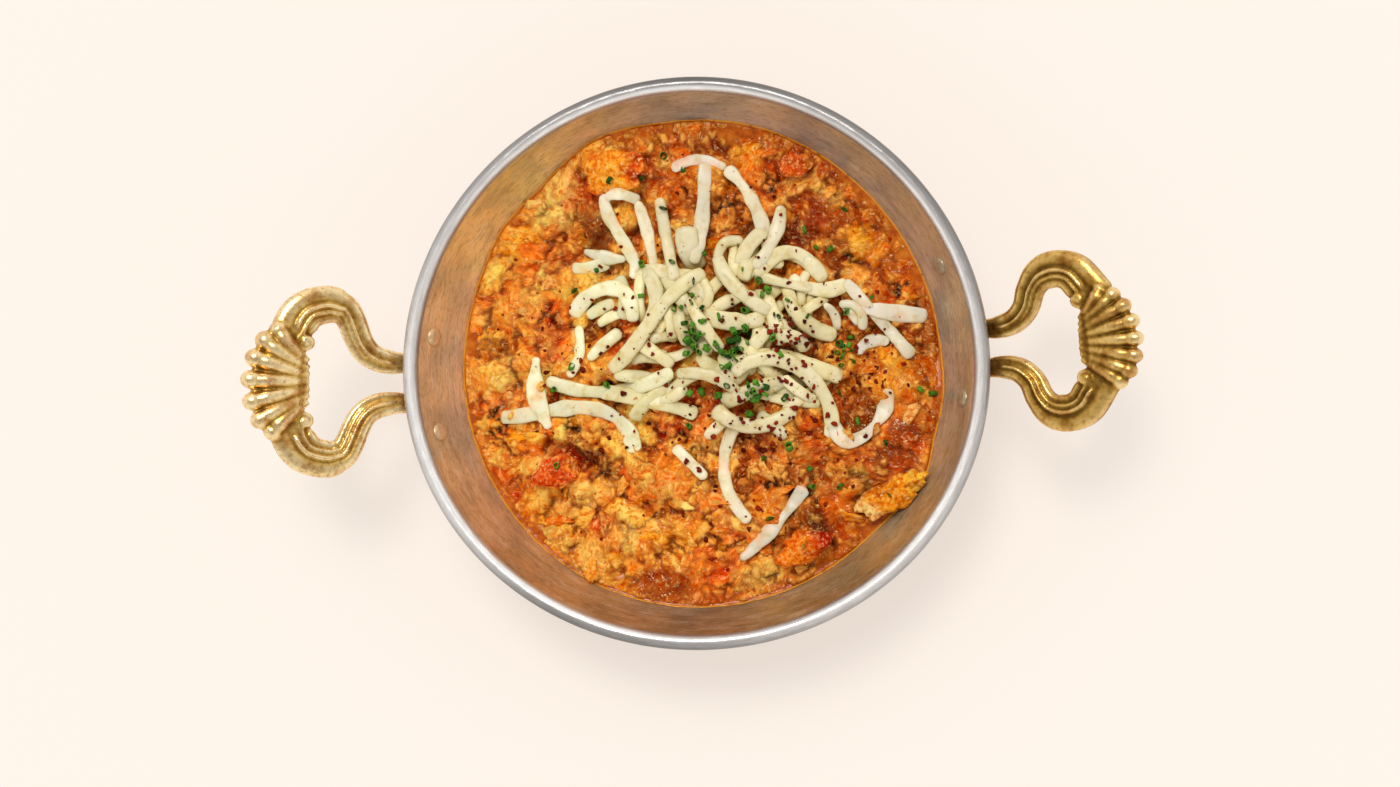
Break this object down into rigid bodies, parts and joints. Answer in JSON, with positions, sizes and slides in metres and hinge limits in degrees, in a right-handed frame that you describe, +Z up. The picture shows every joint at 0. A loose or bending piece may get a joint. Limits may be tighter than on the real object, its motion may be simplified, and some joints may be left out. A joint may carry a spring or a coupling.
{
  "type": "pan of menemen",
  "caption": "Two-handled copper pan of menemen: eggs scrambled with tomato, topped with shredded cheese, chives and pepper flakes.",
  "frame": {"origin": "centre of the flat base of the pan, on the surface it stands on", "axes": "+Z up; +X from the pan's axis towards the right-hand handle in the picture; +Y towards the top of the picture"},
  "size_m": [0.3023, 0.1945, 0.0624],
  "materials": {
    "tinned_copper": "worn tinned copper, brown and pinkish inside, silver on the rim, hammered",
    "brass": "cast, old gold with dark patina in the grooves",
    "copper_rivet": "domed head, satin",
    "egg": "soft scrambled egg with tomato, moist",
    "sauce": "oily tomato sauce, glossy",
    "cheese": "half-melted shreds, slightly shiny",
    "tomato": "cooked tomato, wet",
    "yolk": "set egg, moist"
  },
  "bodies": {
    "root": {"pan": "tinned_copper", "handle_left": "brass", "handle_right": "brass", "rivet_left_1": "copper_rivet", "rivet_left_2": "copper_rivet", "rivet_right_1": "copper_rivet", "rivet_right_2": "copper_rivet", "sauce": "sauce", "menemen": "egg", "cheese": "cheese", "yolk_chunk": "yolk", "egg_flap": "yolk", "tomato_back": "tomato", "tomato_left": "tomato", "tomato_front": "tomato", "shred_1": "cheese", "shred_2": "cheese", "shred_3": "cheese", "shred_4": "cheese", "shred_5": "cheese", "shred_6": "cheese", "shred_7": "cheese", "shred_8": "cheese", "shred_9": "cheese", "shred_10": "cheese", "shred_11": "cheese", "shred_12": "cheese", "shred_13": "cheese"}
  },
  "joints": []
}
